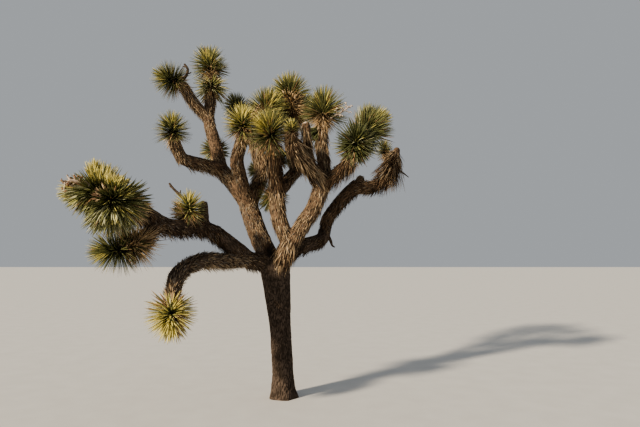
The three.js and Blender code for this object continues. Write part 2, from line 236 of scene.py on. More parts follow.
# The balls of each head that isn't one plain ball
BALLS = {
    "head_low_front": [
        ball("dark", 0.95, (6, 86), 1.3, (0.5, 0.9), (1.3, 0.2, -0.85)),
        ball("sunny", 0.8, (6, 44), 4.2, (0.6, 1.0), (1.15, 0.5, 0.7)),
        ball("pale", 1.0, (6, 46), 2.8, (0.6, 1.0), (0.5, 0.4, -1.2)),
        ball("old", 0.5, (4, 85), 3.0, (0.8, 1.0)),
    ],
    "head_low_left": [
        ball("dark", 0.84, (6, 104), 1.8, (0.2, 0.7), (-0.15, 0, -0.5)),
        ball("sunny", 1.04, (6, 32), 2.8, (0.05, 0.6), (0.95, 0, 0.7)),
        ball("pale", 0.9, (6, 52), 2.4, (0.3, 0.85), (-0.15, -0.1, -0.8)),
    ],
    "head_low_drop": [
        ball("plain", 1.0, (8, 118), 1.0, (0.55, 0.97)),
        ball("dark", 0.8, (50, 125), 3.0, (0.1, 0.3)),
        ball("fresh", 1.15, (66, 150), 1.1, (0.0, 0.3)),
    ],
    "head_low_spur": [
        ball("bright", 1.02, (6, 128), 1.7),
        ball("fresh", 1.1, (6, 50), 3.0, (0.3, 0.6), (-1.2, -0.3, -0.7)),
    ],
    "head_drooping": [
        ball("sunny", 0.95, (6, 122), 1.5),
        ball("fresh", 0.85, (6, 44), 6.0, tilt=(0.7, 0.2, -0.3)),
    ],
    "head_left_back": [ball("dark")],
    "head_top": [
        ball("plain", 0.98, (6, 112), 0.95, (0.72, 0.97)),
        ball("fresh", 0.62, (60, 130), 4.0, (0.44, 0.66)),
        ball("pale", 0.98, (80, 138), 3.8, (0.24, 0.36)),
        # Fresh straw hanging round the stem, partly painted light
        ball("new", 0.85, (150, 176), 2.0, (0.05, 0.26)),
    ],
    "head_inner": [ball("bright", 1.0, (6, 116), 1.2)],
    "head_back_left": [ball("dark")],
    "head_middle": [
        ball("plain", 1.15, (6, 108)),
        ball("bright", 1.18, (6, 55), 1.5, tilt=(1.3, -0.7, 0.1)),
        ball("fresh", 0.95, (6, 46), 5.0, (0.1, 0.3), (-0.9, -1.2, 0.2)),
    ],
    "head_middle_small": [ball("dark")],
    "head_centre_front": [
        ball("plain", 1.28, (6, 116)),
        ball("sunny", 1.2, (6, 58), 2.8, tilt=(-1.2, -0.4, 0.3)),
        ball("faded", 0.8, (124, 168), 2.0, (0.0, 0.5)),
    ],
    "head_centre_small": [ball("dark")],
    "head_hanging": [ball("dark")],
    "head_centre_back": [
        ball("plain", 1.06, (6, 108)),
        ball("fresh", 1.15, (6, 52), 1.6, (0.0, 0.2), (0.1, -1.4, -2.5)),
        ball("fresh", 0.9, (10, 90), 1.8, (0.0, 0.4), (0.1, -1.8, -0.7)),
    ],
    "head_centre_far": [
        ball("plain", 1.1),
        # Fresh straw flares, partly painted light
        ball("new", 1.1, (35, 125), 1.0, (0.0, 0.7), (0.3, -0.9, 0)),
    ],
    "head_shaggy": [
        ball("bright", 0.8, (6, 90), 1.7, (0.75, 1.0)),
        ball("old", 1.3, (40, 150), 0.7, (0.0, 0.6)),
    ],
    "head_right": [
        ball("plain", 1.14, (8, 106), 0.95),
        ball("shady", 0.9, (6, 42), 4.0, (0.0, 0.3), (-0.9, -0.2, -1.8)),
    ],
    "head_right_arm": [
        ball("shady", 1.12, (6, 88), 2.6),
        ball("shady", 0.84, (84, 118), 2.8),
        ball("pale", 0.88, (6, 66), 7.0, tilt=(0.9, -0.5, -1.3)),
    ],
    "head_right_fork": [
        ball("pale", 1.35, (4, 22), 2.2, (0.15, 0.5), (-0.3, 0, 0.3)),
        ball("plain", 1.28, (4, 52), 1.3, (0.3, 0.75), (0.3, 0, -0.1)),
        ball("dark", 1.1, (48, 105), 1.2, (0.1, 0.6), (0.5, 0, -0.5)),
    ],
    "head_far_spur": [ball("dark")],
}
ONE_BALL = [ball()]

# Heads whose dead leaves are old and dark
OLD_SKIRTS = {"head_far_dead", "head_shaggy"}

# How much fuller than usual the dead skirts are where heads crowd together
FULL_SKIRTS = {
    "head_low_spur": 1.8, "head_low_drop": 1.8, "head_inner": 1.2, "head_middle": 2.2, "head_shaggy": 3.4,
    "head_centre_back": 2.0, "head_centre_far": 1.6, "head_centre_front": 1.4,
    "head_right": 1.8, "head_right_arm": 1.3,
}

# The living leaves come in joined pieces, one for each part of the crown: how many heads, in their order above
PIECE_SIZES = {"leaves_low": 5, "leaves_left": 5, "leaves_middle": 8, "leaves_right": 5}
IN_ORDER = iter(HEADS)
LEAF_PIECES = {piece: [next(IN_ORDER) for _ in range(size)] for piece, size in PIECE_SIZES.items()}


def coat(length, density, lift, hang, under, tints):
    """A dry coat: its leaves' length at a limb's root and tip in metres, how many there are to a square metre,
    how far they stand off the limb in degrees, how far they hang instead of lying along the limb, how much
    longer those underneath are, and the shares of straw, tan, brown, grey and dark ones."""
    return Group(length=length, density=density, lift=lift, hang=hang, under=under, tints=tints)


COATS = {
    "bare": None,
    "worn": coat((0.045, 0.065), 2300, 8, 0.15, 1.2, (0.3, 0.32, 0.17, 0.15, 0.06)),
    # Paler tints than the worn coat, as painted light
    "worn_pale": coat((0.045, 0.065), 2300, 8, 0.15, 1.2, (0.38, 0.2, 0.06, 0.34, 0.02)),
    # Darker tints than the worn coat, as painted shade
    "worn_dark": coat((0.045, 0.065), 2300, 8, 0.15, 1.2, (0.13, 0.27, 0.25, 0.13, 0.22)),
    # Mostly brown and dark tints: the dead leaves' own colour and partly painted shade
    "fringed": coat((0.042, 0.05), 2800, 4, 0.4, 1.6, (0.02, 0.1, 0.36, 0.07, 0.45)),
    # The darkest tints: the dead leaves' own colour and partly painted shade
    "fringed_long": coat((0.045, 0.065), 2800, 6, 0.5, 1.7, (0.0, 0.05, 0.3, 0.06, 0.59)),
    "fringed_pale": coat((0.05, 0.065), 2300, 7, 0.3, 1.5, (0.26, 0.3, 0.24, 0.12, 0.08)),
    "bristly": coat((0.045, 0.06), 2800, 26, 0.25, 1.3, (0.1, 0.24, 0.28, 0.18, 0.2)),
    # Paler tints than the bristly coat: the leaves' own grey-tan and partly painted light
    "bristly_pale": coat((0.05, 0.07), 2600, 22, 0.25, 1.3, (0.32, 0.28, 0.1, 0.26, 0.04)),
    "thatched": coat((0.08, 0.14), 1700, 7, 0.22, 1.25, (0.38, 0.34, 0.16, 0.06, 0.06)),
    # Fresher straw tints than the thatched coat, as painted light
    "thatched_new": coat((0.08, 0.15), 1700, 6, 0.2, 1.2, (0.66, 0.24, 0.06, 0.03, 0.01)),
    "shaggy": coat((0.11, 0.18), 1500, 10, 0.35, 1.25, (0.32, 0.33, 0.22, 0.05, 0.08)),
    # Darker tints than the shaggy coat, as painted shade
    "shaggy_dark": coat((0.11, 0.17), 1600, 10, 0.35, 1.3, (0.03, 0.15, 0.39, 0.05, 0.38)),
    "mane": coat((0.15, 0.26), 950, 7, 0.12, 1.2, (0.34, 0.13, 0.14, 0.03, 0.36)),
    "hanging": coat((0.05, 0.34), 2400, 34, 0.33, 1.15, (0.06, 0.22, 0.38, 0.08, 0.26)),
}


Length = partial(FloatProperty, unit="LENGTH")
Share = partial(FloatProperty, subtype="FACTOR")
Colour = partial(FloatVectorProperty, subtype="COLOR")


class JoshuaTreeSettings(PropertyGroup):
    """The sizes and colours that a user would change."""

    voxel: Length(name="Bark Detail", description="Size of the bark's mesh cells", default=0.0087)
    furrow_depth: Length(name="Furrow Depth", description="Depth of the trunk's furrows", default=0.009)
    leaves_per_metre: IntProperty(
        name="Leaves", description="Leaves of a head for each metre of leaf length", default=1750
    )
    leaf_width: Share(name="Leaf Width", description="Living leaf's width against its length", default=0.05)
    leaf_reach: Share(name="Leaf Reach", description="Living leaf's length against the solid's", default=1.15)
    coat_share: Share(name="Dry Coat", description="Share of the dry leaves that are kept", default=1.0)
    # The inner colour is darker partly as painted shade, and the outer and young colours lighter partly as
    # painted light
    leaf_inner: Colour(name="Inner Leaf", description="Near a leaf's root", default=(0.042, 0.047, 0.027))
    leaf_middle: Colour(name="Middle Leaf", description="A leaf's middle", default=(0.095, 0.105, 0.046))
    leaf_outer: Colour(name="Outer Leaf", description="A leaf's outer end", default=(0.212, 0.216, 0.092))
    leaf_young: Colour(name="Young Leaf", description="The youngest leaves", default=(0.62, 0.55, 0.2))
    straw: Colour(name="Straw", description="The palest dry leaves", default=(0.48, 0.365, 0.24))
    # The trunk's colour is its own dark bark and partly painted shade
    trunk_bark_and_painted_shade: Colour(name="Trunk Bark", description="The trunk's plates", default=(0.088, 0.066, 0.052))
    limb_bark: Colour(name="Limb Bark", description="The limbs' bark", default=(0.15, 0.1, 0.065))


def deselect_all():
    """Leave nothing selected, so that the next operator acts on its own piece only."""
    if bpy.context.object and bpy.context.object.mode != "OBJECT":
        bpy.ops.object.mode_set(mode="OBJECT")
    bpy.ops.object.select_all(action="DESELECT")


def pick(piece):
    """Make one piece the active and only selected object."""
    deselect_all()
    piece.select_set(True)
    bpy.context.view_layer.objects.active = piece


def unit(vectors):
    """Vectors of length one, along the last axis."""
    return vectors / np.maximum(np.linalg.norm(vectors, axis=-1, keepdims=True), TINY)


def dot(a, b):
    """The dot products of rows, as a column."""
    return np.sum(a * b, axis=-1, keepdims=True)


def between(ends, share):
    """The value at a share of the way from the first end to the second."""
    return ends[0] + (ends[1] - ends[0]) * share


def smoothstep(value, low, high):
    """A smooth rise from 0 at low to 1 at high."""
    share = np.clip((value - low) / (high - low), 0, 1)
    return share * share * (3 - 2 * share)


def rows_at(at, along, rows):
    """Rows of three numbers that are known along a line, read at other distances along it."""
    return np.stack([np.interp(at, along, rows[:, k]) for k in range(3)], 1)


# How many steps a centre line takes from point to point, and how far apart its places then are in metres
STEPS = 60
LIMB_SPACING, STALK_SPACING = 0.02, 0.012


def smooth_line(points, spacing):
    """Evenly spaced places along the centripetal line through points given in millimetres."""
    p = np.array(points, float) * MM
    p = np.vstack([2 * p[0] - p[1], p, 2 * p[-1] - p[-2]])
    t = np.linspace(0, 1, STEPS, endpoint=False)[:, None]
    spans = []
    for a, b, c, d in zip(p, p[1:], p[2:], p[3:]):
        ab, bc, cd = (math.sqrt(np.linalg.norm(v)) for v in (b - a, c - b, d - c))
        leave = ((b - a) / ab - (c - a) / (ab + bc) + (c - b) / bc) * bc
        arrive = ((c - b) / bc - (d - b) / (bc + cd) + (d - c) / cd) * bc
        square = 3 * (c - b) - 2 * leave - arrive
        spans.append(b + leave * t + square * t**2 + (2 * (b - c) + leave + arrive) * t**3)
    dense = np.vstack([*spans, p[-2]])
    walked = np.concatenate([[0], np.cumsum(np.linalg.norm(np.diff(dense, axis=0), axis=1))])
    at = np.linspace(0, walked[-1], max(3, math.ceil(walked[-1] / spacing) + 1))
    return rows_at(at, walked, dense), at


def trunk_radius(share, length):
    """The trunk's mean radius at a share of its length."""
    foot = np.exp(-share * length / FOOT_FLARE_HEIGHT)
    return between((WAIST_RADIUS, FORK_RADIUS), smoothstep(share, FORK_SWELL_START, 1)) + FOOT_FLARE * foot


def traced(name, points, radii, coat, spacing=LIMB_SPACING):
    """A limb or stem as rows of places with their directions, radii and distances from the root."""
    line, along = smooth_line(points, spacing)
    aim = unit(np.gradient(line, axis=0))
    across = np.zeros_like(aim)
    last = np.array([1.0, 0.0, 0.0])
    for k, direction in enumerate(aim):
        last = unit(last - direction * np.dot(last, direction))
        across[k] = last
    share = along / along[-1]
    radius = trunk_radius(share, along[-1]) if radii is None else between(radii, share) * MM
    return Group(
        name=name, coat=coat, line=line, along=along, aim=aim, across=across, side=np.cross(aim, across),
        radius=radius, mean_radius=float(radius.mean()), length=float(along[-1]), middle=line[len(line) // 2],
    )


TRACED = [traced(name, *limb) for name, limb in LIMBS.items()]
STEMS = [traced(name, stem.points, stem.radii, None) for name, stem in HEADS.items()]
SAMPLES = Group(
    place=np.vstack([limb.line for limb in TRACED]).astype(np.float32),
    radius=np.concatenate([limb.radius for limb in TRACED]).astype(np.float32),
    starts=np.cumsum([0] + [len(limb.line) for limb in TRACED[:-1]]),
)


def reach_from_limbs(places, chunk=8000):
    """How far outside each limb's skin each place is, and the nearest sample of its nearest limb."""
    gaps = np.empty((len(places), len(TRACED)), np.float32)
    nearest = np.empty(len(places), int)
    squares = np.sum(SAMPLES.place**2, axis=1)
    for start in range(0, len(places), chunk):
        part = places[start : start + chunk].astype(np.float32)
        distance = np.sum(part**2, axis=1)[:, None] + squares - 2 * part @ SAMPLES.place.T
        gap = np.sqrt(np.maximum(distance, 0)) - SAMPLES.radius
        nearest[start : start + chunk] = gap.argmin(1)
        gaps[start : start + chunk] = np.minimum.reduceat(gap, SAMPLES.starts, axis=1)
    return gaps, nearest


def scatter_hash(a, b, salt):
    """A steady pseudo-random number from 0 to 1 for each pair of whole numbers."""
    return np.modf(np.abs(np.sin(a * 127.1 + b * 311.7 + salt * 74.7) * 43758.5453))[0]


def cell_borders(u, v, columns):
    """How far each place is from the border of its cell, on a jittered grid that closes round in u."""
    cell_u, cell_v = np.floor(u), np.floor(v)
    first = second = np.full(u.shape, FAR_OFF)
    for du, dv in np.ndindex(3, 3):
        a, b = cell_u + du - 1, cell_v + dv - 1
        wrapped = np.mod(a, columns)
        gap = np.hypot(a + scatter_hash(wrapped, b, 1) - u, b + scatter_hash(wrapped, b, 2) - v)
        second = np.minimum(second, np.maximum(first, gap))
        first = np.minimum(first, gap)
    return second - first


def lumps(places, size, salt):
    """Smooth noise from -1 to 1 at each place, in lumps of a size. The salt tells layers apart."""
    p = places / size
    cell = np.floor(p)
    f = p - cell
    f = f * f * (3 - 2 * f)
    total = 0
    for corner in np.ndindex(2, 2, 2):
        at = cell + corner
        weight = np.prod(np.where(np.array(corner) == 1, f, 1 - f), axis=1)
        total = total + weight * scatter_hash(at[:, 0] + 57 * at[:, 2], at[:, 1], salt)
    return 2 * total - 1


def layered_lumps(places, layers):
    """The sum of layers of lumps, each with its strength, size and salt."""
    return sum(strength * lumps(places, size, salt) for strength, size, salt in layers)


def joined_mesh(name, vertices, faces, slots):
    """A piece made from arrays of places and triangles, with a material slot number for each triangle."""
    mesh = bpy.data.meshes.new(name)
    mesh.vertices.add(len(vertices))
    mesh.vertices.foreach_set("co", np.ascontiguousarray(vertices, np.float32).ravel())
    mesh.loops.add(3 * len(faces))
    mesh.loops.foreach_set("vertex_index", np.ascontiguousarray(faces, np.int32).ravel())
    mesh.polygons.add(len(faces))
    mesh.polygons.foreach_set("loop_start", np.arange(0, 3 * len(faces), 3, dtype=np.int32))
    mesh.polygons.foreach_set("material_index", np.ascontiguousarray(slots, np.int32))
    mesh.update(calc_edges=True)
    piece = bpy.data.objects.new(name, mesh)
    bpy.context.scene.collection.objects.link(piece)
    return piece


# A blade's section is a triangle: how far its two edges rise towards the face, against its depth
FACE_RISE = 0.3


def joined_blades(name, blades, stations, thickness=0.5, bands=None):
    """One piece of blades, from rows of roots, directions, faces, lengths, widths, droops and kinds. Stations
    are shares of the length with shares of the width there, and a blade ends in a point. The thickness is
    against half the width. Bands hold each kind's materials from root to point, if it has more than its own."""
    root, aim, face, length, width, droop, kind = map(np.concatenate, zip(*blades))
    side = unit(np.cross(aim, face))
    face = np.cross(side, aim)
    count, rings = len(root), len(stations)
    vertices = np.empty((count, 3 * rings + 1, 3))
    for k, (share, breadth) in enumerate(stations):
        centre = root + aim * (length * share)[:, None] + droop * share**2
        half = (width * breadth / 2)[:, None]
        depth = half * thickness
        vertices[:, 3 * k] = centre - side * half + face * depth * FACE_RISE
        vertices[:, 3 * k + 1] = centre + side * half + face * depth * FACE_RISE
        vertices[:, 3 * k + 2] = centre - face * depth
    vertices[:, -1] = root + aim * length[:, None] + droop
    pattern, stretch = [(0, 2, 1)], [0]
    for k in range(0, 3 * rings, 3):
        for a, b in ((k, k + 1), (k + 1, k + 2), (k + 2, k)):
            last = k == 3 * rings - 3
            pattern += [(a, b, k + 3)] if last else [(a, b, b + 3), (a, b + 3, a + 3)]
            stretch += [k // 3] * (1 if last else 2)
    faces = np.array(pattern)[None] + (np.arange(count) * (3 * rings + 1))[:, None, None]
    slots = np.repeat(kind, len(pattern)) if bands is None else bands[kind][:, stretch].ravel()
    return joined_mesh(name, vertices.reshape(-1, 3), faces.reshape(-1, 3), slots)


def wired(node, inputs):
    """A node with its sockets linked or set."""
    for socket, value in dict(inputs).items():
        if isinstance(value, bpy.types.NodeSocket):
            node.id_data.links.new(value, node.inputs[socket])
        else:
            node.inputs[socket].default_value = value
    return node


def graph(name):
    """A new material, its shader, and a short way to add a shader node with its inputs and settings."""
    material = bpy.data.materials.new(name)
    material.use_nodes = True
    nodes = material.node_tree.nodes

    def node(kind, inputs=(), **settings):
        made = nodes.new("ShaderNode" + kind)
        for key, value in settings.items():
            setattr(made, key, value)
        return wired(made, inputs)

    return material, nodes["Principled BSDF"], node


def ramp(node, factor, stops):
    """A colour ramp over a factor, from stops of position and colour."""
    made = node("ValToRGB", {"Fac": factor})
    elements = made.color_ramp.elements
    while len(elements) < len(stops):
        elements.new(0.5)
    for element, (position, colour) in zip(elements, stops):
        element.position = position
        element.color = (*colour, 1)
    return made.outputs["Color"]


def shade(colour, amount):
    """A colour made darker or lighter by a factor."""
    return tuple(min(1.0, part * amount) for part in colour)


def leaf_material(name, colour, roughness=0.5, spread=0.3, blotch=18.0, specular=0.35):
    """A leaf's skin: one colour that wanders lighter and darker from leaf to leaf."""
    material, shader, node = graph(name)
    place = node("TexCoord").outputs["Object"]
    broad = node("TexNoise", {"Vector": place, "Scale": blotch, "Detail": 3.0, "Roughness": 0.6})
    stops = [(0.3, shade(colour, 1 - spread)), (0.5, colour), (0.7, shade(colour, 1 + spread))]
    colours = ramp(node, broad.outputs["Fac"], stops)
    fine = node("TexNoise", {"Vector": place, "Scale": 260.0, "Detail": 2.0})
    bump = node("Bump", {"Height": fine.outputs["Fac"], "Strength": 0.25, "Distance": 0.002})
    wired(shader, {"Base Color": colours, "Normal": bump.outputs["Normal"]})
    wired(shader, {"Roughness": roughness, "Specular IOR Level": specular})
    return material


def bark_material(settings):
    """Furrowed bark, dark on the trunk and tan on the limbs, from the bark's relief and streaks, with a furrow
    colour that is partly painted shade, and painted shade in the hollow.
    """
    material, shader, node = graph("furrowed_bark")
    skin = node("TexCoord").outputs["UV"]
    relief, paleness = (
        node("Attribute", attribute_name=title).outputs["Fac"] for title in ("relief", "paleness")
    )
    lengthwise = node("Mapping", {"Vector": skin, "Scale": (90.0, 14.0, 1.0)}).outputs["Vector"]
    streak = node("TexNoise", {"Vector": lengthwise, "Scale": 1.0, "Detail": 6.0, "Roughness": 0.65})
    blotch = node("TexNoise", {"Vector": skin, "Scale": 9.0, "Detail": 4.0})
    both = {0: streak.outputs["Fac"], 1: blotch.outputs["Fac"]}
    mixed = node("Math", both, operation="ADD").outputs["Value"]
    tone = node("Math", {0: mixed, 1: 0.5}, operation="MULTIPLY").outputs["Value"]
    trunk, limbs = (
        ramp(node, tone, [(0.36, shade(colour, 0.45)), (0.5, tuple(colour)), (0.64, shade(colour, 1.7))])
        for colour in (settings.trunk_bark_and_painted_shade, settings.limb_bark)
    )
    plates = node("Mix", {"Factor": paleness, "A": trunk, "B": limbs}, data_type="RGBA")
    # The furrow colour is partly the bark's own dark furrows and partly painted shade; in the hollow, where the
    # relief is nought, it is painted shade
    parts = {"Factor": relief, "A": (0.034, 0.025, 0.018, 1), "B": plates.outputs["Result"]}
    colours = node("Mix", parts, data_type="RGBA").outputs["Result"]
    bump = node("Bump", {"Height": streak.outputs["Fac"], "Strength": 0.8, "Distance": 0.006})
    wired(shader, {"Base Color": colours, "Normal": bump.outputs["Normal"]})
    wired(shader, {"Roughness": 0.92, "Specular IOR Level": 0.15})
    return material


def round_tubes(name, limbs, roundness):
    """One mesh of closed round tubes, domed at their tips."""
    deselect_all()
    bpy.ops.curve.primitive_nurbs_path_add(location=(0, 0, 0))
    tubes = bpy.context.object
    curve = tubes.data
    curve.splines.clear()
    for limb in limbs:
        dome = DOME_DEPTH * limb.radius[-1]
        over_dome = limb.length - dome * (1 - np.linspace(0, 1, DOME_RINGS))
        at = np.concatenate([limb.along[limb.along < limb.length - dome], over_dome])
        place = rows_at(at, limb.along, limb.line)
        rise = np.clip((at - limb.length + dome) / dome, 0, 1)
        thick = np.interp(at, limb.along, limb.radius) * np.sqrt(1 - (rise * math.sin(DOME_END)) ** 2)
        if limb.name == "trunk":
            place = np.vstack([place[0] - UP * BELOW_GROUND, place])
            thick = np.concatenate([[thick[0]], thick])
        spline = curve.splines.new("POLY")
        spline.points.add(len(place) - 1)
        spline.points.foreach_set("co", np.column_stack([place, np.ones(len(place))]).ravel())
        spline.points.foreach_set("radius", thick)
    curve.bevel_depth = 1.0
    curve.bevel_resolution = roundness
    curve.use_fill_caps = True
    pick(tubes)
    bpy.ops.object.convert(target="MESH")
    tubes = bpy.context.object
    tubes.name = tubes.data.name = name
    return tubes


def cut_flat(piece, place, direction):
    """Keep the side of a piece that a plane's direction points to, closed flat at the plane."""
    pick(piece)
    bpy.ops.object.mode_set(mode="EDIT")
    bpy.ops.mesh.select_all(action="SELECT")
    bpy.ops.mesh.bisect(plane_co=place, plane_no=direction, use_fill=True, clear_inner=True)
    bpy.ops.object.mode_set(mode="OBJECT")


def read_all(rows, key, width, kind):
    """One property of all of a mesh's vertices, edges, corners or faces, as an array."""
    values = np.empty(width * len(rows), kind)
    rows.foreach_get(key, values)
    return values.reshape(-1, width) if width > 1 else values


def move_all(mesh, places):
    """Move a mesh's vertices to new places."""
    mesh.vertices.foreach_set("co", places.astype(np.float32).ravel())
    mesh.update()


def eased(places, edges, weight, rounds):
    """Places drawn towards the mean of their neighbours, by a weight each, a number of times."""
    a, b = edges.T
    degree = np.bincount(a, minlength=len(places)) + np.bincount(b, minlength=len(places))
    for _ in range(rounds):
        sums = [
            np.bincount(a, places[b, k], len(places)) + np.bincount(b, places[a, k], len(places))
            for k in range(3)
        ]
        mean = np.stack(sums, 1) / np.maximum(degree, 1)[:, None]
        places = places + (mean - places) * weight[:, None]
    return places


# How the skin is eased, all over and at forks within reach of the crease, and how quick tries coarsen it
EASE = Group(skin=0.08, fork=0.5, reach=0.05, rounds=60, quick_voxel=1.8, quick_rounds=3)

# The plates: size in metres, least number round a limb, where they rise from their border, and the level that
# stays in place. The furrows' depth on limbs, and its loss on the trunk between two heights.
PLATE = Group(width=0.024, height=0.085, least=5, edge=(0.03, 0.32), level=0.7)
FURROW = Group(on_limbs=0.6, top_loss=0.4, top=(1.15, 1.75))

# Lumps by strength, size in metres and salt: in the plates' borders, the limbs' girth, with the trunk's share,
# and a dry coat's age
BORDER_LUMPS = [(0.4, 0.12, 3), (0.35, 0.03, 21)]
SWELLING_LUMPS = [(0.011, 0.15, 5), (0.005, 0.05, 7)]
TRUNK_SWELLING = 0.5
PATCH_LUMPS = [(0.9, 0.11, 9), (0.5, 0.035, 13)]

# How pale the bark is under some coats, and at the trunk's top, coming in between two heights
# The low boughs' bark is kept dark, and the trunk's top short of the limbs' paleness, partly as painted shade
PALE_BARK = Group(
    low_coats=("fringed", "bristly", "bristly_pale"), low_share=0.12, top_share=0.55, top=(1.55, 1.9),
)

# A pale streak down the front of the trunk, with half its width, and a hollow between the left leader and
# the right stem, painted dark as shade, in metres. The core is the share that is palest or deepest.
PALE_STREAK_ENDS = np.array(((-0.185, -0.1, 1.36), (-0.055, -0.13, 1.1)))
PALE_STREAK = Group(top=PALE_STREAK_ENDS[0], foot=PALE_STREAK_ENDS[1], width=0.036, core=0.4)
HOLLOW = Group(place=(-0.15, -0.09, 1.79), radius=0.11, depth=0.05, core=0.3)

# The planes that part the bark: first low from high, then the high part from left to right
LOW_CUT, LEFT_CUT, RIGHT_CUT = 2.1, -0.28, 0.36


def skin_coordinates(places, nearest):
    """For each place on the skin: its limb's number, the angle round the limb and the distance along it."""
    limb_of = np.searchsorted(SAMPLES.starts, nearest, side="right") - 1
    aim, across, side = (
        np.vstack([getattr(limb, rows) for limb in TRACED])[nearest] for rows in ("aim", "across", "side")
    )
    along = np.concatenate([limb.along for limb in TRACED])[nearest]
    offset = places - SAMPLES.place[nearest]
    angle = np.arctan2(dot(offset, side)[:, 0], dot(offset, across)[:, 0])
    return limb_of, angle, along + dot(offset, aim)[:, 0]


def one_skin(settings):
    """One closed skin over limbs and stems, its places with eased forks, and the limb sample next to each."""
    skin = round_tubes("bark", TRACED + STEMS, roundness=6)
    remesh = skin.modifiers.new("one skin", "REMESH")
    remesh.mode = "VOXEL"
    remesh.voxel_size = settings.voxel * 1
    pick(skin)
    bpy.ops.object.modifier_apply(modifier=remesh.name)
    places = read_all(skin.data.vertices, "co", 3, np.float32).astype(float)
    edges = read_all(skin.data.edges, "vertices", 2, np.int32)
    gaps, nearest = reach_from_limbs(places)
    two = np.partition(gaps, 1, axis=1)[:, :2]
    fork = 1 - smoothstep(two[:, 1] - two[:, 0], 0, EASE.reach)
    rounds = EASE.rounds // 1
    return skin, eased(places, edges, EASE.skin + EASE.fork * fork, rounds), nearest


def off_pale_streak(places):
    """How far each place is from the streak's middle line."""
    line = PALE_STREAK.foot - PALE_STREAK.top
    share = np.clip((places - PALE_STREAK.top) @ line / (line @ line), 0, 1)[:, None]
    return np.linalg.norm(places - PALE_STREAK.top - line * share, axis=1)


def wrap_round(mesh, angle, along, radius):
    """Give the skin a map in metres round and along its limbs, with no face torn where the angle jumps."""
    corners = read_all(mesh.loops, "vertex_index", 1, np.int32)
    totals = read_all(mesh.polygons, "loop_total", 1, np.int32)
    first = np.repeat(corners[np.concatenate([[0], np.cumsum(totals)[:-1]])], totals)
    turn = angle[corners] - angle[first]
    turned = angle[first] + (turn + np.pi) % (2 * np.pi) - np.pi
    layer = mesh.uv_layers.new(name="round_and_along")
    spots = np.column_stack([turned * radius[corners], along[corners]])
    layer.data.foreach_set("uv", spots.astype(np.float32).ravel())


def grow_bark(settings):
    """One closed skin over all limbs, with eased forks, lumps, plates and furrows."""
    skin, places, nearest = one_skin(settings)
    mesh = skin.data
    limb_of, angle, along = skin_coordinates(places, nearest)
    radius = np.array([limb.mean_radius for limb in TRACED])[limb_of]
    bare = np.array([limb.coat == "bare" for limb in TRACED])[limb_of]
    low_bough = np.array([limb.coat in PALE_BARK.low_coats for limb in TRACED])[limb_of]

    # The plates' lift, the furrows between them, and the lobes, the hollow and the swellings
    columns = np.maximum(PLATE.least, np.round(2 * np.pi * radius / PLATE.width))
    wander = layered_lumps(places, BORDER_LUMPS)
    border = cell_borders(angle / (2 * np.pi) * columns + wander, along / PLATE.height + wander, columns)
    plate = smoothstep(border, *PLATE.edge)
    trunk_furrows = 1 - FURROW.top_loss * smoothstep(places[:, 2], *FURROW.top)
    depth = settings.furrow_depth * np.where(bare, trunk_furrows, FURROW.on_limbs)
    foot = np.exp(-np.maximum(places[:, 2], 0) / FOOT_FLARE_HEIGHT) * bare
    lobes = FOOT_LOBE_SHARE * foot * np.cos(FOOT_LOBES * angle) * radius
    off_hollow = np.linalg.norm(places - HOLLOW.place, axis=1)
    hollow = 1 - smoothstep(off_hollow, HOLLOW.core * HOLLOW.radius, HOLLOW.radius)
    swelling = np.where(bare, TRUNK_SWELLING, 1.0) * layered_lumps(places, SWELLING_LUMPS)
    lift = (plate - PLATE.level) * depth + swelling + lobes - HOLLOW.depth * hollow
    move_all(mesh, places)
    places = places + read_all(mesh.vertices, "normal", 3, np.float32) * lift[:, None]
    move_all(mesh, places)

    # What the material reads: the plates' relief, and where the bark is pale
    trunk_pale = PALE_BARK.top_share * smoothstep(places[:, 2], *PALE_BARK.top)
    pale = np.where(bare, trunk_pale, np.where(low_bough, PALE_BARK.low_share, 1.0))
    pale = np.maximum(pale, 1 - smoothstep(off_pale_streak(places), PALE_STREAK.core * PALE_STREAK.width, PALE_STREAK.width))
    # The relief is nought in the hollow, which so takes the furrow colour as painted shade
    for title, values in (("relief", plate * (1 - hollow)), ("paleness", pale)):
        layer = mesh.attributes.new(title, "FLOAT", "POINT")
        layer.data.foreach_set("value", values.astype(np.float32))
    wrap_round(mesh, angle, along, radius)
    mesh.materials.clear()
    mesh.materials.append(bark_material(settings))
    cut_flat(skin, (0, 0, 0), (0, 0, 1))
    return skin


def part_bark(skin):
    """The skin cut into closed pieces, each of which stands for the limbs whose middles it holds."""
    low, left, right = (0, 0, LOW_CUT), (LEFT_CUT, 0, 0), (RIGHT_CUT, 0, 0)
    bands = {
        "bark_low": [(low, (0, 0, -1))],
        "bark_left": [(low, (0, 0, 1)), (left, (-1, 0, 0))],
        "bark_middle": [(low, (0, 0, 1)), (left, (1, 0, 0)), (right, (-1, 0, 0))],
        "bark_right": [(low, (0, 0, 1)), (right, (1, 0, 0))],
    }
    for name, planes in bands.items():
        piece = skin.copy()
        piece.data = skin.data.copy()
        piece.name = piece.data.name = name
        bpy.context.scene.collection.objects.link(piece)
        for place, direction in planes:
            cut_flat(piece, place, direction)
        pick(piece)
        bpy.ops.object.shade_smooth_by_angle(angle=math.radians(50))
        stands_for = [
            limb.name
            for limb in TRACED
            if all(np.dot(limb.middle - place, direction) >= 0 for place, direction in planes)
        ]
        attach(piece, "root")
        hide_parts(*stands_for)
    bpy.data.objects.remove(skin)


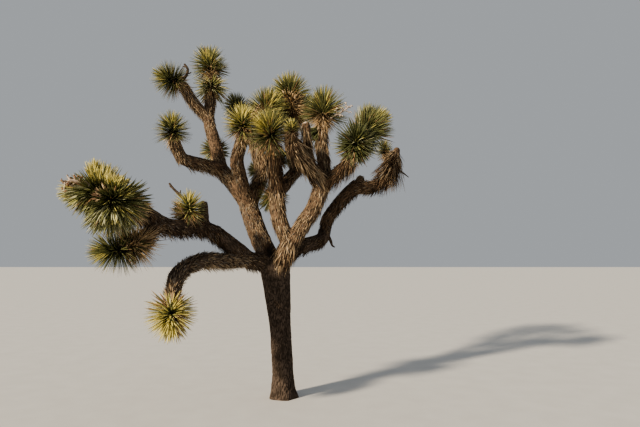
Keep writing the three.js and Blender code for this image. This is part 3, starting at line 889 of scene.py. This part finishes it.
# A coat's leaves: the scatter of their turns, stray and lifts, the ranges of their lengths, hangs, sags and
# widths, their root's depth in metres, how age favours straw, tan, brown, grey and dark ones, how deep in the
# next limb they may stand in metres, and where the high coats are parted
THATCH = Group(
    turn=0.9, stray=0.2, lift=0.6, length=(0.45, 1.25), hang=(0.7, 1.3), top_hang=0.35, underside=0.25,
    sag=(0.02, 0.2), width=(0.6, 1.2), base_width=0.0045, width_share=0.04, root=0.004,
    aged=np.array([-1.0, -0.5, 0.5, 0.3, 1.2]), overlap=0.012, cuts=(-0.5, 0.25),
)


def spiral(limb, at, scatter, rng, tilt=(0, 0, 0)):
    """Places along a limb, its directions there, and directions away from it, turned by the golden angle."""
    along = unit(rows_at(at, limb.along, limb.aim) + tilt)
    across = rows_at(at, limb.along, limb.across)
    across = unit(across - along * dot(across, along))
    angle = np.arange(len(at)) * GOLDEN_TURN + rng.normal(0, scatter, len(at))
    outward = across * np.cos(angle)[:, None] + np.cross(along, across) * np.sin(angle)[:, None]
    return rows_at(at, limb.along, limb.line), along, outward


def hung(aim, normal, hang, lift):
    """Directions turned towards the ground by a share, and lifted off the bark by an angle."""
    aim = unit(aim * (1 - hang) - UP * hang)
    return unit(aim + normal * np.maximum(0, np.sin(lift)[:, None] - dot(aim, normal)))


def dealt(shares, rng):
    """The number of a kind for each row, by the row's shares of the kinds."""
    chance = np.cumsum(shares, axis=1) / shares.sum(1, keepdims=True)
    return np.minimum((rng.uniform(0, 1, (len(shares), 1)) > chance).sum(1), shares.shape[1] - 1)


def coat_of(limb, dry, rng, share):
    """A limb's dry leaves, set round it in a spiral, each pointing back towards the limb's root."""
    count = int(dry.density * (2 * np.pi * limb.mean_radius * limb.length) * share)
    at = (np.arange(count) + rng.uniform(0, 1, count)) / count * limb.length
    centre, aim, normal = spiral(limb, at, THATCH.turn, rng)
    under = np.clip(-normal[:, 2] + THATCH.underside, 0, 1)
    long = between(dry.length, (at / limb.length) ** 2)
    length = long * (1 + (dry.under - 1) * under) * rng.uniform(*THATCH.length, count)
    lift = np.radians(np.abs(rng.normal(dry.lift, dry.lift * THATCH.lift, count)))
    hang = np.clip(dry.hang * (THATCH.top_hang + under) * rng.uniform(*THATCH.hang, count), 0, 1)[:, None]
    sideways = np.cross(normal, aim) * rng.normal(0, THATCH.stray, count)[:, None]
    direction = hung(-aim + sideways, normal, hang, lift)
    root = centre + normal * (np.interp(at, limb.along, limb.radius) - THATCH.root)[:, None]
    sag = -UP * (length * rng.uniform(*THATCH.sag, count))[:, None]
    sag = sag - normal * np.minimum(0, dot(sag, normal))
    age = np.exp(layered_lumps(root, PATCH_LUMPS))[:, None]
    tint = dealt(np.array(dry.tints) * age**THATCH.aged, rng)
    width = rng.uniform(*THATCH.width, count) * (THATCH.base_width + THATCH.width_share * long)
    return root, direction, normal, length, width, sag, tint


def grow_coats(settings):
    """The dry leaves on all limbs, as joined pieces."""
    rng = np.random.default_rng(11)
    coats = {name: [] for name in ("thatch_low", "thatch_left", "thatch_middle", "thatch_right")}
    for number, limb in enumerate(TRACED):
        if COATS[limb.coat] is None:
            continue
        blades = coat_of(limb, COATS[limb.coat], rng, settings.coat_share)
        gaps, _ = reach_from_limbs(blades[0])
        gaps[:, number] = 1
        off_hollow = np.linalg.norm(blades[0] - HOLLOW.place, axis=1)
        clear = (gaps.min(1) > -THATCH.overlap) & (off_hollow > HOLLOW.radius)
        side = 0 if limb.middle[2] < LOW_CUT else 1 + np.searchsorted(THATCH.cuts, limb.middle[0])
        list(coats.values())[side].append([rows[clear] for rows in blades])
    return coats


# A blade's stations, as shares of its length and of its width there
DRY_STATIONS = [(0.0, 0.9), (0.35, 1.0), (0.75, 0.6)]
LEAF_STATIONS = [(0.0, 1.2), (0.2, 0.9), (0.46, 1.0), (0.74, 0.68), (0.92, 0.27)]
POD_STATIONS = [(0.0, 0.4), (0.3, 1.0), (0.7, 0.85)]

# The leaves on a stem: the greatest leafy share, the topmost one's place, the scatter of turns, and of leans in
# degrees, how far in metres one may pass into the next head's space, and the least slopes that count
STEM = Group(most_leafy=0.8, topmost=0.94, turn=0.12, lean=5, overlap=0.06, climb=1e-3, steep=0.05)

# The leaves of a ball: the youngest one's length and the age when grown, the loss and lumps of length, the
# shortest kept, which shares of it have to be clear of limbs, widths and sags, and the sprays of one kind, with
# how they favour young, grown, shaded, dried and pale leaves
LEAF = Group(
    least=60, young=0.88, grown=0.4, shortfall=0.26, dead_shortfall=0.45, lumps=(0.1, 0.4, 17), shortest=0.45,
    clear=(0.6, 0.8, 1.0), broadest=1.7, width=(0.8, 1.15), sag=0.01, old_sag=0.07, sprays=(0.9, 0.5, 19),
    spray_kinds=np.array([1.0, 0.0, -0.8, -0.3, 0.8]),
)

# The dead skirts: the number of leaves, where they start and stop below the topmost one, in leafy stretches,
# leans in degrees, ranges of hang, length, sag and width, breadth and shortest against the head's leaf, and
# the number, stretch, lean and tilt on a dead head
SKIRT = Group(
    least=60, per_metre=620, foot=1.5, top=0.55, lean=122, crowded_lean=104, most_lean=166, hang=(0.05, 0.35),
    length=(0.5, 0.97), sag=(0, 0.12), width=(0.7, 1.2), breadth=0.048, shortest=0.3,
    dead=(520, (0.0, 0.75), 120, (0.4, 0, 0)),
)


def room_along(root, aim, centre, leaf, centres, leaves, own):
    """How far a leaf may run before it leaves the space of its own head."""
    room = np.full(len(root), FAR_OFF)
    for k, (other, other_leaf) in enumerate(zip(centres, leaves)):
        distance = np.linalg.norm(other - centre)
        if k == own or distance > leaf + other_leaf:
            continue
        normal = (other - centre) / distance
        border = distance * leaf / (leaf + other_leaf) + STEM.overlap
        climb = aim @ normal
        reach = (border - (root - centre) @ normal) / np.where(climb > STEM.climb, climb, 1)
        room = np.minimum(room, np.where(climb > STEM.climb, reach, FAR_OFF))
    return room


def head_blades(stem, shares, count, leans, rng, tilt):
    """Roots, directions, faces and ages of a ball of leaves, in a spiral down its stretch of stem."""
    age = (np.arange(count) + 0.5) / count
    root, along, outward = spiral(stem, between(shares[::-1], age) * stem.length, STEM.turn, rng, tilt)
    lean = np.arccos(between(np.cos(np.radians(leans)), age)) + np.radians(rng.normal(0, STEM.lean, count))
    aim = along * np.cos(lean)[:, None] + outward * np.sin(lean)[:, None]
    face = along * np.sin(lean)[:, None] - outward * np.cos(lean)[:, None]
    return root, unit(aim), face, age


def keep_inside(root, aim, length):
    """Lengths cut so that no tip leaves the box of the solids."""
    low, high = np.array(CAD_BOX)
    tip = root + aim * length[:, None]
    over = np.maximum(0, np.maximum(tip - high, low - tip))
    return length - (over / np.maximum(np.abs(aim), STEM.steep)).max(1)


def leafy_share(stem, leaf):
    """The share of a stem that bears living leaves."""
    return min(STEM.most_leafy, HEADS[stem.name].stretch * leaf / stem.length)


def living_kinds(look, aim, age, number, rng):
    """The kinds of a ball's leaves: young ones crowd at the tip, dried ones and shaded ones, darker as painted
    shade, below, all in sprays.
    """
    ages = [np.maximum(0.1, 1.7 - 1.9 * age), np.ones(len(age)), 0.3 + 1.4 * age, 0.2 + 2 * age**3, 1.4 - age]
    spray = np.exp(layered_lumps(aim - number, [LEAF.sprays]))[:, None] ** LEAF.spray_kinds
    return dealt(np.array(LEAF_SHARES[look]) * np.stack(ages, 1) * spray, rng)


def grown_balls(stem, number, centres, leaves, settings, rng):
    """The leaves of one head, ball by ball. Dead ones tangle with the next head's, and living ones don't."""
    leaf = leaves[number]
    for part in BALLS.get(stem.name, ONE_BALL):
        count = int((LEAF.least + settings.leaves_per_metre * leaf) / part.breadth)
        shares = part.shares or (STEM.topmost - leafy_share(stem, leaf), STEM.topmost)
        root, aim, face, age = head_blades(stem, shares, count, part.leans, rng, part.tilt)
        dead = part.look in DRY_SHARES
        growth = between((LEAF.young, 1), np.minimum(1, age / LEAF.grown))
        full = leaf * part.reach * settings.leaf_reach * growth
        shortfall = rng.uniform(0, 1, count)
        full = full * (1 - (LEAF.dead_shortfall * shortfall if dead else LEAF.shortfall * shortfall**2))
        full = full * (1 + layered_lumps(aim + number, [LEAF.lumps]))
        room = full if dead else room_along(root, aim, centres[number], leaf, centres, leaves, number)
        length = keep_inside(root, aim, np.minimum(full, room))
        free = length > LEAF.shortest * full
        for share in LEAF.clear:
            gaps, _ = reach_from_limbs(root + aim * (length * share)[:, None])
            free &= gaps.min(1) > 0
        width = settings.leaf_width * leaf * min(part.breadth, LEAF.broadest) * rng.uniform(*LEAF.width, count)
        sag = -UP * (length * (LEAF.sag + LEAF.old_sag * age * rng.uniform(0, 1, count)))[:, None]
        if dead:
            kind = dealt(np.tile(DRY_SHARES[part.look], (count, 1)), rng)
        else:
            kind = living_kinds(part.look, aim, age, number, rng)
        yield dead, [row[free] for row in (root, aim, face, length, width, sag, kind)]


def dry_skirt(stem, leaf, rng):
    """The dead leaves that hang below a head's living ones, or stand on a dead head."""
    if stem.name in DEAD_HEADS:
        count, shares, lean, tilt = SKIRT.dead
    else:
        count = int((SKIRT.least + SKIRT.per_metre * leaf) * FULL_SKIRTS.get(stem.name, 1.0))
        leafy = leafy_share(stem, leaf)
        shares = (max(0.0, STEM.topmost - SKIRT.foot * leafy), STEM.topmost - SKIRT.top * leafy)
        lean = SKIRT.crowded_lean if stem.name in FULL_SKIRTS else SKIRT.lean
        tilt = (0, 0, 0)
    root, aim, face, _ = head_blades(stem, shares, count, (lean, SKIRT.most_lean), rng, tilt)
    aim = unit(aim - UP * rng.uniform(*SKIRT.hang, count)[:, None])
    length = keep_inside(root, aim, leaf * rng.uniform(*SKIRT.length, count))
    sag = -UP * (length * rng.uniform(*SKIRT.sag, count))[:, None]
    tint = rng.choice(5, count, p=DRY_SHARES["old" if stem.name in OLD_SKIRTS else "fresh"])
    width = SKIRT.breadth * leaf * rng.uniform(*SKIRT.width, count)
    free = length > SKIRT.shortest * leaf
    return [rows[free] for rows in (root, aim, -face, length, width, sag, tint)]


def grow_heads(settings):
    """The living leaves of each head, and the dry ones that hang below them."""
    rng = np.random.default_rng(23)
    living, dry = {name: [] for name in LEAF_PIECES}, []
    centres = [stem.line[-1] for stem in STEMS]
    leaves = [head.leaf * MM for head in HEADS.values()]
    for number, stem in enumerate(STEMS):
        if stem.name not in DEAD_HEADS:
            piece = next(name for name, members in LEAF_PIECES.items() if stem.name in members)
            for dead, rows in grown_balls(stem, number, centres, leaves, settings, rng):
                (dry if dead else living[piece]).append(rows)
        dry.append(dry_skirt(stem, leaves[number], rng))
    return living, dry


# A living leaf's materials from root to point, for a young, a grown, a shaded, a dried and a pale leaf
INNER, MIDDLE, OUTER, YOUNG, DRIED, PALE = range(6)
# The darker colours near the root are partly painted shade and the lighter outer ones partly painted light; the
# shaded leaf's darker bands are painted shade
LEAF_BANDS = np.array([
    (INNER, OUTER, YOUNG, YOUNG, YOUNG),
    (INNER, MIDDLE, OUTER, OUTER, OUTER),
    (INNER, INNER, MIDDLE, MIDDLE, MIDDLE),
    (INNER, DRIED, DRIED, DRIED, DRIED),
    (INNER, MIDDLE, PALE, PALE, PALE),
])


# Dried flower stalks and dead twigs in millimetres: the points of each one's centre line, its radius at root
# and tip, how many side twigs it bears, and whether its pods are brown ones. Only the flower stalks bear pods.
FLOWER_STALKS = [
    ([(540, 300, 3520), (640, 210, 3560), (745, 130, 3600), (835, 90, 3650)], (11, 6), 8, 0),
    ([(-1790, -1540, 2370), (-1862, -1610, 2392), (-1925, -1640, 2396), (-1985, -1640, 2366)], (26, 14), 11, 1),
    ([(273, -286, 3300), (270, -292, 3342)], (38, 32), 0, 0),
]
DEAD_TWIGS = [
    ([(-1340, -10, 3950), (-1270, -40, 4010), (-1245, -60, 4090), (-1290, -70, 4160)], (20, 13), 2, 0),
    ([(-990, -820, 2230), (-1090, -860, 2365), (-1160, -860, 2430), (-1213, -860, 2497)], (19, 11), 2, 0),
    ([(545, 505, 2000), (590, 500, 1920), (610, 500, 1862), (645, 495, 1836)], (30, 8), 0, 0),
    ([(320, 330, 1800), (262, 335, 1755), (222, 340, 1700)], (9, 5), 2, 0),
    ([(1500, 430, 2880), (1572, 425, 2828), (1640, 420, 2772)], (17, 4), 0, 0),
]
STALK_COLOUR, TWIG_COLOUR = (0.4, 0.33, 0.27), (0.075, 0.055, 0.04)
POD_COLOUR, BROWN_POD_COLOUR = (0.5, 0.42, 0.36), (0.24, 0.14, 0.08)

# The side twigs, with size and bend in millimetres, and the pods on them, with their size in metres
TWIG = Group(
    size=85, length=(0.6, 1.1), start=0.35, forward=0.6, rise=0.2, turn=(-0.4, 0.4), bend=(-4, 8),
    radii=(0.7, 0.45),
)
POD = Group(size=0.036, length=(0.7, 1.2), width=0.5, places=(0.45, 0.65, 0.82, 1.0))


def grow_stalks(stalks, rng, pods=None):
    """The lines of dried stalks and their side twigs, with pods gathered along the side twigs."""
    lines = []
    for points, radii, twigs, husk in stalks:
        main = traced("stalk", points, radii, None, STALK_SPACING)
        lines.append(main)
        for k in range(twigs):
            step = int(between((TWIG.start, 1), (k + 0.5) / twigs) * (len(main.line) - 1))
            turn = k * GOLDEN_TURN + rng.uniform(*TWIG.turn)
            outward = main.across[step] * math.cos(turn) + main.side[step] * math.sin(turn)
            aim = unit(TWIG.forward * main.aim[step] + outward)
            root = main.line[step] / MM
            length = TWIG.size * rng.uniform(*TWIG.length)
            bend = root + aim * 0.5 * length + UP * rng.uniform(*TWIG.bend)
            tip = root + unit(aim + UP * TWIG.rise) * length
            thin = tuple(radii[1] * share for share in TWIG.radii)
            lines.append(traced("twig", [root, bend, tip], thin, None, STALK_SPACING))
            if pods is None:
                continue
            for share in POD.places:
                place = between((root, tip), share)[None] * MM
                droop = unit(rng.normal(0, 1, (1, 3)) - UP)
                size = np.array([POD.size * rng.uniform(*POD.length)])
                face, still, kind = unit(np.cross(droop, UP)), np.zeros((1, 3)), np.array([husk])
                pods.append((place, droop, face, size, size * POD.width, still, kind))
    return lines


def dress(piece, materials, slot, *nodes):
    """Give a piece its materials and set it on the frame."""
    for material in materials:
        piece.data.materials.append(material)
    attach(piece, "root")
    if nodes:
        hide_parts(*nodes)


def dry_materials(settings, tints):
    """The dry leaves' materials in some tints, all of which are made at the first call."""
    if bpy.data.materials.get("dry_straw") is None:
        straw = tuple(settings.straw)
        # Colour, roughness, spread of the colour and gloss
        finishes = {
            "fresh": ((0.62, 0.45, 0.26), 0.7, 0.35, 0.2),
            "straw": (straw, 0.75, 0.35, 0.2),
            "tan": (shade(straw, 0.62), 0.8, 0.35, 0.2),
            "brown": ((0.13, 0.084, 0.052), 0.85, 0.4, 0.15),
            "grey": ((0.25, 0.22, 0.185), 0.85, 0.3, 0.15),
            "dark": ((0.05, 0.034, 0.024), 0.9, 0.4, 0.15),
        }
        for tint, (colour, roughness, spread, specular) in finishes.items():
            leaf_material("dry_" + tint, colour, roughness, spread, 14.0, specular)
    return [bpy.data.materials["dry_" + tint] for tint in tints]


class BarkOperator(Operator):
    """Grow one skin of bark over the trunk and all limbs"""

    bl_idname = "joshua.bark"
    bl_label = "Grow Bark"

    def execute(self, context):
        part_bark(grow_bark(context.scene.joshua_tree))
        return {"FINISHED"}


class ThatchOperator(Operator):
    """Lay the dry leaves along the limbs"""

    bl_idname = "joshua.thatch"
    bl_label = "Lay Thatch"

    def execute(self, context):
        settings = context.scene.joshua_tree
        materials = dry_materials(settings, ("straw", "tan", "brown", "grey", "dark"))
        for name, blades in grow_coats(settings).items():
            dress(joined_blades(name, blades, DRY_STATIONS), materials, "dead_leaves")
        return {"FINISHED"}


class LeavesOperator(Operator):
    """Grow the heads of living leaves and the dry leaves below them"""

    bl_idname = "joshua.leaves"
    bl_label = "Grow Leaves"

    def execute(self, context):
        settings = context.scene.joshua_tree
        living, dry = grow_heads(settings)
        materials = [
            leaf_material("leaf_inner", tuple(settings.leaf_inner), 0.5),
            leaf_material("leaf_middle", tuple(settings.leaf_middle), 0.45),
            leaf_material("leaf_outer", tuple(settings.leaf_outer), 0.4),
            leaf_material("leaf_young", tuple(settings.leaf_young), 0.38),
            leaf_material("leaf_dried", (0.3, 0.19, 0.1), 0.8),
            leaf_material("leaf_pale", (0.46, 0.46, 0.3), 0.45),
        ]
        for name, blades in living.items():
            piece = joined_blades(name, blades, LEAF_STATIONS, thickness=0.55, bands=LEAF_BANDS)
            dress(piece, materials, "leaves", *LEAF_PIECES[name])
        skirts = joined_blades("skirts", dry, DRY_STATIONS)
        materials = dry_materials(settings, ("fresh", "straw", "tan", "brown", "dark"))
        dress(skirts, materials, "dead_leaves", *DEAD_HEADS)
        return {"FINISHED"}


class StalksOperator(Operator):
    """Set the dried flower stalks and dead twigs on the limbs and heads"""

    bl_idname = "joshua.stalks"
    bl_label = "Set Stalks"

    def execute(self, context):
        rng = np.random.default_rng(31)
        pods = []
        pale, dark = grow_stalks(FLOWER_STALKS, rng, pods), grow_stalks(DEAD_TWIGS, rng)
        for name, lines, colour in (("flower_stalks", pale, STALK_COLOUR), ("dead_twigs", dark, TWIG_COLOUR)):
            tubes = round_tubes(name, lines, roundness=2)
            pick(tubes)
            bpy.ops.object.shade_smooth()
            tubes.data.materials.clear()
            dress(tubes, [leaf_material("bark_of_" + name, colour, 0.85, 0.4, 30.0, 0.15)], "dead_leaves")
        husks = joined_blades("dry_pods", pods, POD_STATIONS, thickness=0.9)
        materials = [
            leaf_material("dry_pod", POD_COLOUR, 0.8, 0.3, 40.0, 0.2),
            leaf_material("brown_pod", BROWN_POD_COLOUR, 0.8, 0.4, 40.0, 0.2),
        ]
        dress(husks, materials, "dead_leaves")
        return {"FINISHED"}


# The camera stands at eye height in front of the tree and looks slightly up: the horizon is at row 265 of 427
CAMERA_PLACE = (0.446, -6.625, 1.6)
FOCAL_PIXELS = 530
IMAGE_WIDTH, IMAGE_HEIGHT = 640, 427
HORIZON_ROW = 265
SENSOR_WIDTH = 36
CAMERA_PITCH = math.atan((HORIZON_ROW - IMAGE_HEIGHT / 2) / FOCAL_PIXELS)


class StageOperator(Operator):
    """Set the floor, the soft lights and the camera"""

    bl_idname = "joshua.stage"
    bl_label = "Set Stage"

    def execute(self, context):
        deselect_all()
        bpy.ops.mesh.primitive_plane_add(size=800, location=(0, 0, 0))
        floor = context.object
        floor.name = "floor"
        paint, shader, node = graph("pale_floor")
        place = node("TexCoord").outputs["Object"]
        grain = node("TexNoise", {"Vector": place, "Scale": 3.0, "Detail": 4.0}).outputs["Fac"]
        sand = ramp(node, grain, [(0.3, (0.6, 0.59, 0.57)), (0.7, (0.64, 0.63, 0.61))])
        wired(shader, {"Base Color": sand, "Roughness": 0.9})
        floor.data.materials.append(paint)
        world = bpy.data.worlds.new("studio")
        context.scene.world = world
        world.use_nodes = True
        wired(world.node_tree.nodes["Background"], {"Color": (0.84, 0.88, 0.92, 1), "Strength": 0.4})
        azimuth, height = math.radians(45), math.radians(23)
        bpy.ops.object.light_add(type="SUN", rotation=(math.pi / 2 - height, 0, -azimuth))
        key = context.object
        key.name = "key"
        key.data.energy = 6.0
        key.data.angle = math.radians(4)
        key.data.color = (1.0, 0.86, 0.66)
        context.scene.view_settings.look = "AgX - Medium High Contrast"
        bpy.ops.object.camera_add(location=CAMERA_PLACE, rotation=(math.pi / 2 + CAMERA_PITCH, 0, 0))
        camera = context.object
        camera.data.sensor_width = SENSOR_WIDTH
        camera.data.lens = FOCAL_PIXELS / IMAGE_WIDTH * SENSOR_WIDTH
        camera.data.clip_end = 2000
        context.scene.camera = camera
        return {"FINISHED"}


OPERATORS = [StageOperator, BarkOperator, ThatchOperator, LeavesOperator, StalksOperator]


class JoshuaTreePanel(Panel):
    """Sizes, colours and steps of the Joshua tree"""

    bl_idname = "VIEW3D_PT_joshua_tree"
    bl_label = "Joshua Tree"
    bl_space_type = "VIEW_3D"
    bl_region_type = "UI"
    bl_category = "Joshua Tree"

    def draw(self, context):
        settings = context.scene.joshua_tree
        for name in settings.bl_rna.properties.keys():
            if name not in ("rna_type", "name"):
                self.layout.prop(settings, name)
        for operator in OPERATORS:
            self.layout.operator(operator.bl_idname)


CLASSES = [JoshuaTreeSettings, *OPERATORS, JoshuaTreePanel]


def register():
    for known in CLASSES:
        bpy.utils.register_class(known)
    bpy.types.Scene.joshua_tree = PointerProperty(type=JoshuaTreeSettings)


def unregister():
    del bpy.types.Scene.joshua_tree
    for known in reversed(CLASSES):
        bpy.utils.unregister_class(known)


def main():
    register()
    bpy.ops.joshua.stage()
    bpy.ops.joshua.bark()
    bpy.ops.joshua.thatch()
    bpy.ops.joshua.leaves()
    bpy.ops.joshua.stalks()
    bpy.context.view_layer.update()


if __name__ == "__main__":
    main()
